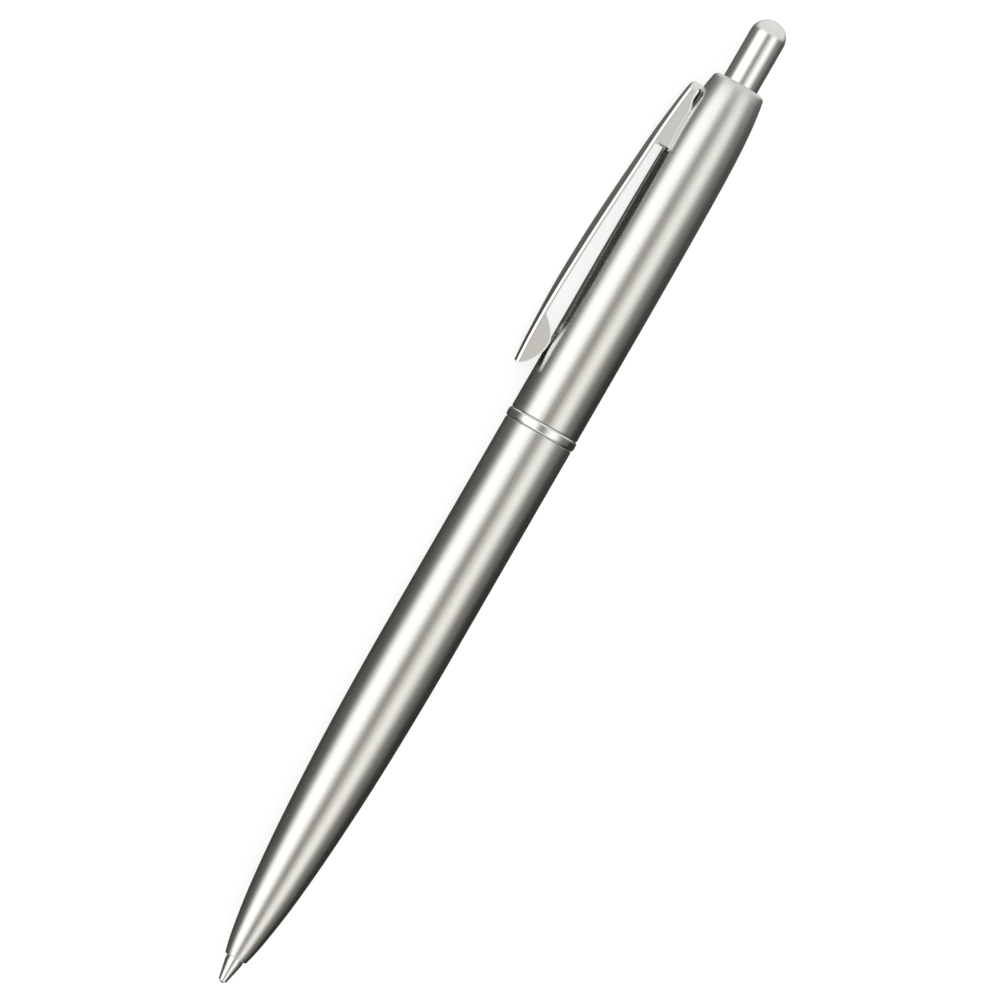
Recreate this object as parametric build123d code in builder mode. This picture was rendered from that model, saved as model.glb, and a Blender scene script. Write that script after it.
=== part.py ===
from build123d import *
import os
from math import cos, hypot, pi, radians, sin, sqrt, tan

# Stainless steel click ballpoint pen, in millimetres.
# The pen lies on a table along X with its nose towards +X and its clip on the -Y side.
# Origin: on the pen's axis, in the middle of the straight grip stretch of the lower barrel.

# Barrels and centre ring
barrel_radius = 4.75
barrel_wall = 0.45
nose_wall = 0.35
nose_length = 46.0
nose_end_radius = 1.54
nose_lip_chamfer = 0.1
joint_edge_chamfer = 0.15
ring_width = 1.4
ring_radius = 4.9
ring_edge_height = 0.55
ring_edge_width = 0.4
upper_length = 49.66
upper_end_radius = 3.5
upper_rim_chamfer = 0.4
upper_end_wall = 0.7
rest_angle = 20.9

# Screw joint between the barrels
thread_radius = 3.75
thread_clearance = 0.06
thread_pitch = 0.75
thread_turns = 5
coupler_insert = 9.0
coupler_wall = 0.5
coupler_chamfer = 0.25
bush_length = 7.0
ring_clearance = 0.1
press_gap = 0.02

# Refill of the international G2 size, with its stepped point
refill_length = 98.1
refill_radius = 2.95
refill_wall = 0.3
neck_length = 2.6
neck_radius = 2.05
holder_front = 8.4
holder_radius = 1.55
holder_length = 8.6
flange_length = 2.0
follower_length = 4.0
air_length = 2.0
plug_length = 4.5
plug_head = 1.2
plug_notch_width = 0.7
plug_notch_depth = 0.6

# Writing point and ball
point_show = 3.6
point_length = 11.0
point_radius = 1.15
point_cone = 2.63
point_rim_radius = 0.59
point_rim_chamfer = 0.12
ball_radius = 0.35
ball_show = 0.22
ball_clearance = 0.015
ink_channel_radius = 0.3

# Nose bush and return spring
nose_bush_start = 1.7
nose_bush_end = 6.0
nose_clearance = 0.15
holder_clearance = 0.1
wire_diameter = 0.35
wire_sides = 6
spring_clearance = 0.12
spring_turns = 6

# Click mechanism
press_travel = 1.3
click_travel = 5.0
seat_gap = 0.05
stop_gap = 0.2
cam_count = 6
cam_rise = 1.0
cam_clearance = 0.1
crown_rise = 0.7
crown_offset_share = 0.25
fin_width = 1.15
fin_reach = 3.4
fin_length = 3.2
core_radius = 2.5
rotor_foot_radius = 2.2
rotor_foot_length = 4.2
rotor_neck = 1.0
pin_radius = 1.1
pin_length = 4.0
pin_clearance = 0.1
housing_radius = 3.9
housing_bore = 3.55
rib_inner_radius = 2.7
groove_clearance = 0.15
collar_width = 1.2
collar_clearance = 0.15
housing_from_end = 8.66
housing_end_wall = 2.0
housing_shoulder = 2.6
housing_clearance = 0.1
rear_bore_radius = 3.2
plunger_length = 8.4
plunger_fin_gap = 1.6
plunger_fin_length = 4.6
stem_clearance = 0.12

# Push button
button_radius = 2.4
button_show = 9.31
button_skirt = 6.6
button_wall = 0.3
button_clearance = 0.1

# Clip, folded from one strip of sheet
clip_from_end = 2.56
clip_length = 41.9
clip_half_width = 2.6
clip_reach = 2.87
clip_sheet = 0.45
clip_arm_depth = 0.62
clip_edge_chamfer = 0.22
clip_seat_clearance = 0.05
lobe_centre = 3.56
lobe_chord = 6.5
lobe_gap = 0.12
root_length = 9.4
root_foot = 0.8
root_arch = 0.55
root_heel = 3.3
root_end_height = 4.62
root_end_straight = 1.7
tongue_from_end = 5.2
tongue_length = 0.9
tongue_width = 2.4
tongue_depth = 0.35
tongue_clearance = 0.15

# Cutters run past the metal by this much
overrun = 1.0

# Shares of the tapered nose's length from its end, then of the radius that it gains
nose_shares = ((0.067, 0.209), (0.2, 0.487), (0.4, 0.737), (0.665, 0.925))

# Shares of the upper barrel's length from the ring, then of the barrel's radius
upper_shares = ((0.36, 1.0), (0.634, 0.983), (0.818, 0.943), (0.91, 0.88), (0.966, 0.806))

# Steps of the nose's bore: shares of its length from the nose bush, then of the barrel's radius
nose_bore_shares = ((0.615, 0.853), (0.185, 0.653), (0.08, 0.547))

# Shares of the button's end cap from its crest, then of the button's radius
dome_shares = ((0.0, 0.3), (0.05, 0.5), (0.17, 0.72), (0.42, 0.92), (0.8, 1.0))

# Shares of the clip's length from its free end, then of its reach off the barrel
face_shares = ((0.0, 0.868), (0.118, 0.983), (0.27, 1.0), (0.48, 0.895), (0.7, 0.686),
               (0.845, 0.53), (1.0, 0.233))

# Shares of the clip's length from its free end, then of its widest half width
plan_shares = ((0.0, 0.54), (0.2, 0.79), (0.5, 1.0), (0.78, 0.93), (1.0, 0.69))

# The straight grip is as long as the refill and the click mechanism behind it ask for
nose_bush_step = holder_front - point_show - press_travel - holder_clearance
crown_lift = 2 * crown_rise * crown_offset_share + cam_clearance
rotor_length = rotor_foot_length + fin_length + cam_rise + rotor_neck
mechanism_length = (seat_gap + rotor_length - crown_rise + crown_lift + plunger_length + click_travel
                    + stop_gap + housing_end_wall + housing_from_end)
barrels_length = refill_length + mechanism_length - point_show
grip_length = barrels_length - nose_length - ring_width - upper_length

# Places along X
lower_end = -grip_length / 2
grip_end = grip_length / 2
nose_end = grip_end + nose_length
upper_start = lower_end - ring_width
upper_end = upper_start - upper_length
button_end = upper_end - button_show
ball_end = nose_end + point_show
refill_tail = ball_end - refill_length
holder_start = ball_end - holder_front
neck_end = holder_start - holder_length
neck_start = neck_end - neck_length
spring_seat = nose_end - nose_bush_end
clip_end = upper_end + clip_from_end
clip_tip = clip_end + clip_length
tongue_x = clip_end + tongue_from_end
root_start = clip_length - root_length
root_seat_end = clip_length - root_heel
inner_radius = barrel_radius - barrel_wall

os.makedirs("parts", exist_ok=True)


def between(shares, run):
    """Second share at this run, on straight lines between the table's rows."""
    for (run_a, share_a), (run_b, share_b) in zip(shares, shares[1:]):
        if run <= run_b:
            return share_a + (share_b - share_a) * (run - run_a) / (run_b - run_a)
    return shares[-1][1]


def nose_radius(run):
    """Outside radius of the lower barrel, at a run from its nose end."""
    rows = ((0, 0), *nose_shares, (1, 1))
    return nose_end_radius + (barrel_radius - nose_end_radius) * between(rows, run / nose_length)


def nose_outline():
    """Half section of the lower barrel's outside, in straight runs between the table's rows."""
    rows = ((0, 0), *nose_shares)
    taper = [(nose_end - run * nose_length, nose_radius(run * nose_length)) for run, _ in rows]
    return outline(*taper, (grip_end, barrel_radius), (lower_end, barrel_radius), (lower_end, 0),
                   (nose_end, 0))


def upper_outline(growth):
    """Half section of the upper barrel's outside, grown outwards."""
    taper = [(upper_start - run * upper_length, width * barrel_radius + growth)
             for run, width in upper_shares]
    return outline((upper_start, 0), (upper_start, barrel_radius + growth), *taper,
                   (upper_end, upper_end_radius + growth), (upper_end, 0))


def stepped_bore(first, *steps):
    """Half section of a stepped bore: its first place, then the end and the radius of each step."""
    corners = [(first, 0)]
    here = first
    for there, radius in steps:
        corners.append((here, radius))
        corners.append((there, radius))
        here = there
    return outline(*corners, (here, 0))


def ring_section(outer, inner):
    """Section of a round tube."""
    with BuildSketch() as section:
        Circle(outer)
        Circle(inner, mode=Mode.SUBTRACT)
    return section.sketch


def outline(*points):
    """Closed face with straight sides."""
    with BuildSketch() as face:
        with BuildLine():
            Polyline(points, close=True)
        make_face()
    return face.sketch


def across(x):
    """Plane square to the pen's axis."""
    return Plane.YZ.offset(x)


def radial(angle):
    """Plane along the pen's axis, its normal straight out, at an angle from +Y towards +Z."""
    return Plane.XZ.rotated((angle + 180, 0, 0))


# Lower barrel, turned, with an ogive nose and a bore that steps down inside it
bush_rear_radius = nose_radius(nose_bush_end) - nose_wall
bush_front_radius = nose_radius(nose_bush_start) - nose_wall
bore_steps = [(spring_seat - run * (spring_seat - grip_end), width * barrel_radius)
              for run, width in nose_bore_shares]
with BuildPart() as lower_barrel:
    revolve(nose_outline(), axis=Axis.X)
    revolve(stepped_bore(lower_end, (grip_end, inner_radius), *bore_steps,
                         (spring_seat, bush_rear_radius + press_gap)),
            axis=Axis.X, mode=Mode.SUBTRACT)
    revolve(outline((spring_seat, 0), (spring_seat, bush_rear_radius),
                    (nose_end - nose_bush_start, bush_front_radius),
                    (nose_end - nose_bush_start, 0)), axis=Axis.X, mode=Mode.SUBTRACT)
    with BuildSketch(across(nose_end - nose_bush_step)):
        Circle(point_radius + nose_clearance)
    extrude(amount=nose_bush_step + overrun, mode=Mode.SUBTRACT)
    rims = lower_barrel.edges().filter_by(GeomType.CIRCLE).group_by(Axis.X)
    chamfer(rims[-1].sort_by(SortBy.RADIUS)[-1], length=nose_lip_chamfer)
    chamfer(rims[0].sort_by(SortBy.RADIUS)[-1], length=joint_edge_chamfer)
lower_barrel.part.label = "lower_barrel"
export_step(lower_barrel.part, "parts/lower_barrel.step")

# Nose bush, brass, guides the point and seats the spring
with BuildPart() as nose_bush:
    revolve(outline((spring_seat, 0), (spring_seat, bush_rear_radius - press_gap),
                    (nose_end - nose_bush_start, bush_front_radius - press_gap),
                    (nose_end - nose_bush_start, 0)), axis=Axis.X)
    with BuildSketch(across(spring_seat)):
        Circle(point_radius + nose_clearance)
    extrude(amount=nose_bush_end, mode=Mode.SUBTRACT)
    with BuildSketch(across(spring_seat)):
        Circle(holder_radius + holder_clearance)
    extrude(amount=nose_bush_end - nose_bush_step, mode=Mode.SUBTRACT)
nose_bush.part.label = "nose_bush"
export_step(nose_bush.part, "parts/nose_bush.step")

# Threaded coupler, brass, pressed into the lower barrel
coupler_bore = thread_radius - coupler_wall
coupler_stub = ring_width + (thread_turns + 1) * thread_pitch
with BuildPart() as threaded_coupler:
    with BuildSketch(across(lower_end)):
        add(ring_section(inner_radius - press_gap, coupler_bore))
    extrude(amount=coupler_insert)
    with BuildSketch(across(lower_end)):
        add(ring_section(thread_radius, coupler_bore))
    extrude(amount=-coupler_stub)
    mouth = threaded_coupler.edges().filter_by(GeomType.CIRCLE).group_by(Axis.X)[0]
    chamfer(mouth.sort_by(SortBy.RADIUS)[-1], length=coupler_chamfer)
threaded_coupler.part.label = "threaded_coupler"
export_step(threaded_coupler.part, "parts/threaded_coupler.step")

# Centre ring, a polished half-round band trapped between the barrels
with BuildPart() as centre_ring:
    with BuildSketch(across(upper_start)):
        add(ring_section(ring_radius, thread_radius + ring_clearance))
    extrude(amount=ring_width)
    rims = centre_ring.edges().filter_by(GeomType.CIRCLE).group_by(SortBy.RADIUS)[-1]
    chamfer(rims, length=ring_edge_height, length2=ring_edge_width)
centre_ring.part.label = "centre_ring"
export_step(centre_ring.part, "parts/centre_ring.step")

# Click mechanism: places along the axis at rest, with the point out
rotor_foot = refill_tail - seat_gap
fin_foot = rotor_foot - rotor_foot_length
rib_tip = fin_foot - fin_length
collar_seat = fin_foot + press_travel + stop_gap
housing_front = collar_seat + collar_width
rotor_top = rib_tip - cam_rise - rotor_neck
plunger_tip = rotor_top + crown_rise - crown_lift
plunger_shoulder = plunger_tip - plunger_length
end_wall_face = plunger_shoulder - click_travel - stop_gap
housing_rear = end_wall_face - housing_end_wall
stem_radius = button_radius - button_wall - press_gap
stem_end = button_end + button_radius + seat_gap

# Upper barrel, a turned cap: its bore has a seat for the housing's shoulder, its wall a slot for
# the clip's tongue, and its end a hole for the button
shoulder_seat = housing_front - housing_shoulder - press_gap
clip_plane = radial(rest_angle - 90)
with BuildPart() as upper_barrel:
    revolve(upper_outline(0), axis=Axis.X)
    rims = upper_barrel.edges().filter_by(GeomType.CIRCLE).group_by(Axis.X)
    chamfer(rims[0], length=upper_rim_chamfer)
    chamfer(rims[-1], length=joint_edge_chamfer)
    revolve(stepped_bore(upper_start, (shoulder_seat, inner_radius),
                         (tongue_x - tongue_length, housing_radius + housing_clearance),
                         (upper_end + upper_end_wall, rear_bore_radius)),
            axis=Axis.X, mode=Mode.SUBTRACT)
    with BuildSketch(across(upper_end - overrun)):
        Circle(button_radius + button_clearance)
    extrude(amount=upper_end_wall + 2 * overrun, mode=Mode.SUBTRACT)
    with BuildSketch(clip_plane):
        with Locations((tongue_x, barrel_radius)):
            Rectangle(tongue_length + 2 * tongue_clearance, 4 * (barrel_wall + tongue_depth))
    extrude(amount=tongue_width / 2 + tongue_clearance, both=True, mode=Mode.SUBTRACT)
upper_barrel.part.label = "upper_barrel"
export_step(upper_barrel.part, "parts/upper_barrel.step")

# Threaded bush, brass, pressed into the upper barrel
with BuildPart() as threaded_bush:
    with BuildSketch(across(upper_start)):
        add(ring_section(inner_radius - press_gap, thread_radius + thread_clearance))
    extrude(amount=-bush_length)
threaded_bush.part.label = "threaded_bush"
export_step(threaded_bush.part, "parts/threaded_bush.step")

# Twelve steps of the crown: every second one is a groove of the housing
step_angle = 180 / cam_count
saw_width = 2 * housing_bore * tan(radians(step_angle / 2))
saw_slope = cam_rise / saw_width
crown_half = core_radius * tan(radians(step_angle / 2))

# Cam housing: grooves for the fins, and a sloped stop on the end of each rib between them
groove_width = fin_width + 2 * groove_clearance
rib_root = (housing_bore + housing_radius) / 2
with BuildPart() as cam_housing:
    with BuildSketch(across(rib_tip)):
        add(ring_section(rib_root, rib_inner_radius))
        with PolarLocations(rib_root, cam_count):
            Rectangle(2 * (rib_root - rib_inner_radius) + overrun, groove_width,
                      mode=Mode.SUBTRACT)
    extrude(amount=end_wall_face - rib_tip)
    for step in range(cam_count):
        saw = outline((rib_tip, -saw_width / 2), (rib_tip, saw_width / 2),
                      (rib_tip - cam_rise, saw_width / 2))
        with BuildSketch(radial(step_angle * (2 * step + 1))):
            add(saw)
        extrude(amount=rib_root + overrun, mode=Mode.SUBTRACT)
    with BuildSketch(across(housing_rear)):
        add(ring_section(housing_radius, housing_bore))
    extrude(amount=housing_front - housing_rear)
    with BuildSketch(across(housing_rear)):
        add(ring_section(rib_root, stem_radius + stem_clearance))
    extrude(amount=housing_end_wall)
    with BuildSketch(across(housing_front)):
        add(ring_section(inner_radius - press_gap, rib_root))
    extrude(amount=-housing_shoulder)
cam_housing.part.label = "cam_housing"
export_step(cam_housing.part, "parts/cam_housing.step")

# Housing collar, pressed into the housing's mouth, keeps the rotor in
with BuildPart() as housing_collar:
    with BuildSketch(across(collar_seat)):
        add(ring_section(housing_bore - press_gap, refill_radius + collar_clearance))
    extrude(amount=collar_width)
housing_collar.part.label = "housing_collar"
export_step(housing_collar.part, "parts/housing_collar.step")

# Rotor: a core with a crown, and fins whose sloped tops catch on the housing's stops
fin_high = rib_tip - saw_slope * (saw_width + fin_width) / 2 + cam_clearance
fin_low = rib_tip - saw_slope * (saw_width - fin_width) / 2 + cam_clearance
with BuildPart() as rotor:
    with BuildSketch(across(rotor_foot)):
        Circle(rotor_foot_radius)
    extrude(amount=-rotor_foot_length)
    with BuildSketch(across(fin_foot)):
        Circle(core_radius)
    extrude(amount=rotor_top - fin_foot)
    for step in range(2 * cam_count):
        with BuildSketch(radial(step_angle * step)):
            add(outline((rotor_top, -crown_half), (rotor_top, crown_half),
                        (rotor_top + crown_rise, 0)))
        extrude(amount=core_radius + overrun, mode=Mode.SUBTRACT)
    for step in range(cam_count):
        fin = outline((fin_foot, -fin_width / 2), (fin_foot, fin_width / 2),
                      (fin_high, fin_width / 2), (fin_low, -fin_width / 2))
        with BuildSketch(radial(2 * step_angle * step)):
            add(fin)
        extrude(amount=fin_reach)
    with BuildSketch(across(rotor_top + crown_rise)):
        Circle(pin_radius)
    extrude(amount=-pin_length)
rotor.part.label = "rotor"
export_step(rotor.part, "parts/rotor.step")

# Plunger: its crown turns the rotor, its fins slide in the grooves, its stem fills the button
plunger_fin = plunger_tip - plunger_fin_gap
with BuildPart() as plunger:
    with BuildSketch(across(plunger_tip)):
        Circle(core_radius)
    extrude(amount=plunger_shoulder - plunger_tip)
    for step in range(2 * cam_count):
        with BuildSketch(radial(step_angle * (step + 1 / 2 + crown_offset_share))):
            add(outline((plunger_tip, -crown_half), (plunger_tip, crown_half),
                        (plunger_tip - crown_rise, 0)))
        extrude(amount=core_radius + overrun, mode=Mode.SUBTRACT)
    for step in range(cam_count):
        with BuildSketch(radial(2 * step_angle * step)):
            add(outline((plunger_fin, -fin_width / 2), (plunger_fin, fin_width / 2),
                        (plunger_fin - plunger_fin_length, fin_width / 2),
                        (plunger_fin - plunger_fin_length, -fin_width / 2)))
        extrude(amount=fin_reach)
    with BuildSketch(across(plunger_shoulder)):
        Circle(stem_radius)
    extrude(amount=stem_end - plunger_shoulder)
    with BuildSketch(across(plunger_tip + overrun)):
        Circle(pin_radius + pin_clearance)
    extrude(amount=-(pin_length + 2 * overrun), mode=Mode.SUBTRACT)
plunger.part.label = "plunger"
export_step(plunger.part, "parts/plunger.step")

# Push button, a drawn cap with a domed end
dome = [(button_end + run * button_radius, width * button_radius) for run, width in dome_shares]
with BuildPart() as push_button:
    revolve(outline((button_end, 0), *dome, (upper_end + button_skirt, button_radius),
                    (upper_end + button_skirt, 0)), axis=Axis.X)
    with BuildSketch(across(upper_end + button_skirt)):
        Circle(button_radius - button_wall)
    extrude(amount=-(button_skirt + button_show - button_radius), mode=Mode.SUBTRACT)
push_button.part.label = "push_button"
export_step(push_button.part, "parts/push_button.step")


def face_height(run):
    """Distance of the clip's outer face from the pen's axis, at a run from its free end."""
    return barrel_radius + clip_reach * between(face_shares, run / clip_length)


def half_width(run):
    """Half width of the clip, at a run from its free end."""
    return clip_half_width * between(plan_shares, run / clip_length)


def under_face(depth, floor):
    """Side view of the clip from its outer face, sunk by the depth, down to a floor curve."""
    top = []
    bottom = []
    for run, reach in face_shares:
        height = barrel_radius + reach * clip_reach
        top.append((clip_tip - run * clip_length, height - depth))
        bottom.append((clip_tip - run * clip_length, height - floor))
    with BuildSketch() as face:
        with BuildLine():
            Spline(top)
            Line(top[-1], bottom[-1])
            Spline(bottom)
            Line(bottom[0], top[0])
        make_face()
    return face.sketch


def plan_face(inset, end_inset):
    """Plan view of the clip, narrowed by the inset and shortened at both ends."""
    left = []
    right = []
    for run, share in plan_shares:
        x = clip_tip - end_inset - run * (clip_length - 2 * end_inset)
        left.append((x, share * clip_half_width - inset))
        right.append((x, inset - share * clip_half_width))
    with BuildSketch() as face:
        with BuildLine():
            Spline(left)
            Line(left[-1], right[-1])
            Spline(right)
            Line(right[0], left[0])
        make_face()
    return face.sketch


# Clip: a narrow arm with two lobes that bear on the barrel, and a tall root seated on it
crest_height = barrel_radius + clip_reach + overrun
lobe_wall = half_width(lobe_centre) - clip_sheet
lobe_apex = sqrt(barrel_radius ** 2 - lobe_wall ** 2) + lobe_gap
lobe_ends = (lobe_centre - lobe_chord / 2, lobe_centre + lobe_chord / 2)
root_height = face_height(root_start) - clip_arm_depth
seat_height = sqrt(barrel_radius ** 2 - half_width(root_start) ** 2)
side_reach = clip_half_width + overrun
clip_side = clip_plane.offset(-side_reach)
clip_plan = radial(rest_angle + 180)
with BuildPart() as clip_space:
    with BuildSketch(clip_side):
        add(under_face(clip_sheet, 2 * clip_reach))
    extrude(amount=2 * side_reach)
    with BuildSketch(clip_plan):
        add(plan_face(clip_sheet, clip_sheet))
    extrude(amount=crest_height, mode=Mode.INTERSECT)
with BuildPart() as clip:
    with BuildSketch(clip_side):
        add(under_face(0, clip_arm_depth))
        with BuildLine():
            start = (clip_tip - lobe_ends[0], face_height(lobe_ends[0]) - clip_sheet)
            finish = (clip_tip - lobe_ends[1], face_height(lobe_ends[1]) - clip_sheet)
            ThreePointArc(start, (clip_tip - lobe_centre, lobe_apex), finish)
            Line(finish, start)
        make_face()
        with BuildLine():
            arch = (clip_tip - root_start - root_arch, (root_height + seat_height) / 2)
            foot = (clip_tip - root_start + root_foot, seat_height)
            heel = (clip_tip - root_seat_end, seat_height)
            ThreePointArc((clip_tip - root_start, root_height), arch, foot)
            Polyline(foot, (foot[0], seat_height - clip_reach),
                     (heel[0], seat_height - clip_reach), heel,
                     (clip_end + root_end_straight, root_end_height),
                     (clip_end, root_end_height), (clip_end, face_height(clip_length) - clip_sheet),
                     (clip_tip - root_start, root_height + clip_arm_depth - clip_sheet),
                     (clip_tip - root_start, root_height))
        make_face()
    extrude(amount=2 * side_reach)
    with BuildSketch(clip_plan):
        add(plan_face(0, 0))
    extrude(amount=crest_height, mode=Mode.INTERSECT)
    chamfer(clip.edges().sort_by(SortBy.LENGTH)[-2:], length=clip_edge_chamfer)
    add(clip_space.part, mode=Mode.SUBTRACT)
    revolve(upper_outline(clip_seat_clearance), axis=Axis.X, mode=Mode.SUBTRACT)
    tongue_end = barrel_radius * between(upper_shares, (upper_start - tongue_x) / upper_length)
    tongue_end = tongue_end - barrel_wall - tongue_depth
    tongue_top = face_height(clip_length - tongue_from_end) - clip_sheet / 2
    with BuildSketch(clip_plane):
        with Locations((tongue_x, (tongue_top + tongue_end) / 2)):
            Rectangle(tongue_length, tongue_top - tongue_end)
    extrude(amount=tongue_width / 2, both=True)
clip.part.label = "clip"
export_step(clip.part, "parts/clip.step")

# Refill tube, drawn steel with its front rolled in to a neck
with BuildPart() as refill_tube:
    with BuildSketch(Plane.XY):
        add(outline((refill_tail + plug_head, 0), (refill_tail + plug_head, refill_radius),
                    (neck_start, refill_radius), (neck_end, neck_radius), (neck_end, 0)))
    revolve(axis=Axis.X)
    shoulder = refill_tube.edges().filter_by(GeomType.CIRCLE).group_by(Axis.X)[1]
    fillet(shoulder, radius=refill_radius - neck_radius)
    with BuildSketch(across(neck_start)):
        Circle(refill_radius - refill_wall)
    extrude(amount=-refill_length, mode=Mode.SUBTRACT)
    with BuildSketch(across(neck_start - overrun)):
        Circle(holder_radius + press_gap)
    extrude(amount=neck_length + 2 * overrun, mode=Mode.SUBTRACT)
refill_tube.part.label = "refill_tube"
export_step(refill_tube.part, "parts/refill_tube.step")

# Point holder, brass, its flange behind the neck and its collar inside the spring
tube_bore = refill_radius - refill_wall - press_gap
point_rear = ball_end - point_length
with BuildPart() as point_holder:
    with BuildSketch(across(neck_start)):
        Circle(holder_radius)
    extrude(amount=holder_start - neck_start)
    with BuildSketch(across(neck_start)):
        Circle(tube_bore)
    extrude(amount=-flange_length)
    with BuildSketch(across(point_rear)):
        Circle(point_radius + press_gap)
    extrude(amount=point_length, mode=Mode.SUBTRACT)
    with BuildSketch(across(neck_start - flange_length - overrun)):
        Circle(ink_channel_radius)
    extrude(amount=refill_length, mode=Mode.SUBTRACT)
point_holder.part.label = "point_holder"
export_step(point_holder.part, "parts/point_holder.step")

# Writing point, stainless steel, with the socket for its ball
point_rim = ball_end - ball_show
ball_centre = ball_end - ball_radius
with BuildPart() as writing_point:
    with BuildSketch(Plane.XY):
        add(outline((point_rear, 0), (point_rear, point_radius),
                    (point_rim - point_cone, point_radius), (point_rim, point_rim_radius),
                    (point_rim, 0)))
    revolve(axis=Axis.X)
    rims = writing_point.edges().filter_by(GeomType.CIRCLE).group_by(Axis.X)
    chamfer(rims[-1], length=point_rim_chamfer)
    with BuildSketch(across(point_rear - overrun)):
        Circle(ink_channel_radius)
    extrude(amount=ball_centre - point_rear + overrun, mode=Mode.SUBTRACT)
    with Locations((ball_centre, 0, 0)):
        Sphere(ball_radius + ball_clearance, mode=Mode.SUBTRACT)
writing_point.part.label = "writing_point"
export_step(writing_point.part, "parts/writing_point.step")

# Tip ball, tungsten carbide
with BuildPart() as tip_ball:
    with Locations((ball_centre, 0, 0)):
        Sphere(ball_radius)
tip_ball.part.label = "tip_ball"
export_step(tip_ball.part, "parts/tip_ball.step")

# Ink column, with its thread through the holder and point to the ball
ink_front = neck_start - flange_length - press_gap
ink_length = ink_front - refill_tail - plug_length - air_length - follower_length
with BuildPart() as ink_column:
    with BuildSketch(across(ink_front)):
        Circle(tube_bore)
    extrude(amount=-ink_length)
    with BuildSketch(across(ink_front)):
        Circle(ink_channel_radius - press_gap)
    extrude(amount=ball_centre - ball_radius - seat_gap - ink_front)
ink_column.part.label = "ink_column"
export_step(ink_column.part, "parts/ink_column.step")

# Ink follower, a plug of clear grease behind the ink
with BuildPart() as ink_follower:
    with BuildSketch(across(ink_front - ink_length)):
        Circle(tube_bore)
    extrude(amount=-follower_length)
ink_follower.part.label = "ink_follower"
export_step(ink_follower.part, "parts/ink_follower.step")

# Tail plug, plastic, with crossed air notches
with BuildPart() as tail_plug:
    with BuildSketch(across(refill_tail)):
        Circle(refill_radius)
    extrude(amount=plug_head)
    with BuildSketch(across(refill_tail + plug_head)):
        Circle(tube_bore)
    extrude(amount=plug_length - plug_head)
    with BuildSketch(across(refill_tail)):
        Rectangle(2 * refill_radius + overrun, plug_notch_width)
        Rectangle(plug_notch_width, 2 * refill_radius + overrun)
    extrude(amount=plug_notch_depth, mode=Mode.SUBTRACT)
tail_plug.part.label = "tail_plug"
export_step(tail_plug.part, "parts/tail_plug.step")

# Return spring, music wire, between the nose bush and the refill's neck; its wire has few sides
spring_radius = holder_radius + spring_clearance + wire_diameter / 2
spring_front = spring_seat - wire_diameter / 2 - press_gap
spring_rear = neck_end + wire_diameter / 2 + press_gap
spring_pitch = (spring_front - spring_rear) / spring_turns


def coil_point(turn):
    """Centre of the wire after this many turns."""
    angle = 2 * pi * turn
    return Vector(spring_front - spring_pitch * turn, spring_radius * cos(angle),
                  spring_radius * sin(angle))


def coil_direction(turn):
    """Direction of the wire after this many turns."""
    angle = 2 * pi * turn
    sweep_rate = 2 * pi * spring_radius
    return Vector(-spring_pitch, -sweep_rate * sin(angle), sweep_rate * cos(angle)).normalized()


def biarc_middle(start, finish, way_in, way_out):
    """Point and direction where two equal-handle arcs between two directions meet."""
    chord = finish - start
    ways = way_in + way_out
    spread = 2 * (1 - way_in.dot(way_out))
    along = chord.dot(ways)
    handle = (sqrt(along ** 2 + spread * chord.dot(chord)) - along) / spread
    first = start + way_in * handle
    last = finish - way_out * handle
    return (first + last) * (1 / 2), (last - first).normalized()


half_turns = 2 * spring_turns
with BuildPart() as return_spring:
    with BuildLine():
        for half in range(half_turns):
            ends = (coil_point(half / 2), coil_point((half + 1) / 2))
            ways = (coil_direction(half / 2), coil_direction((half + 1) / 2))
            middle, way = biarc_middle(*ends, *ways)
            TangentArc(ends[0], middle, tangent=ways[0])
            TangentArc(middle, ends[1], tangent=way)
    with BuildSketch(Plane(origin=coil_point(0), z_dir=coil_direction(0))):
        RegularPolygon(wire_diameter / 2, wire_sides)
    sweep()
return_spring.part.label = "return_spring"
export_step(return_spring.part, "parts/return_spring.step")

# Least gap of the spring to itself, measured on points along its wire
samples = [coil_point(step / 72) for step in range(72 * spring_turns + 1)]
least = min(
    hypot(*(a - b)) for i, a in enumerate(samples) for b in samples[i + 36:]
)
wire_length = hypot(2 * pi * spring_radius, spring_pitch) * spring_turns
print(f"spring gap to itself {least - wire_diameter:.2f} mm")
wire_section = wire_sides * (wire_diameter / 2) ** 2 * sin(2 * pi / wire_sides) / 2
print(f"spring volume {return_spring.part.volume:.3f}, "
      f"section times length {wire_section * wire_length:.3f}")
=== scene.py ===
from math import asin, cos, pi, radians, sin, sqrt

import bpy
from mathutils import Matrix, Vector


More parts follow.
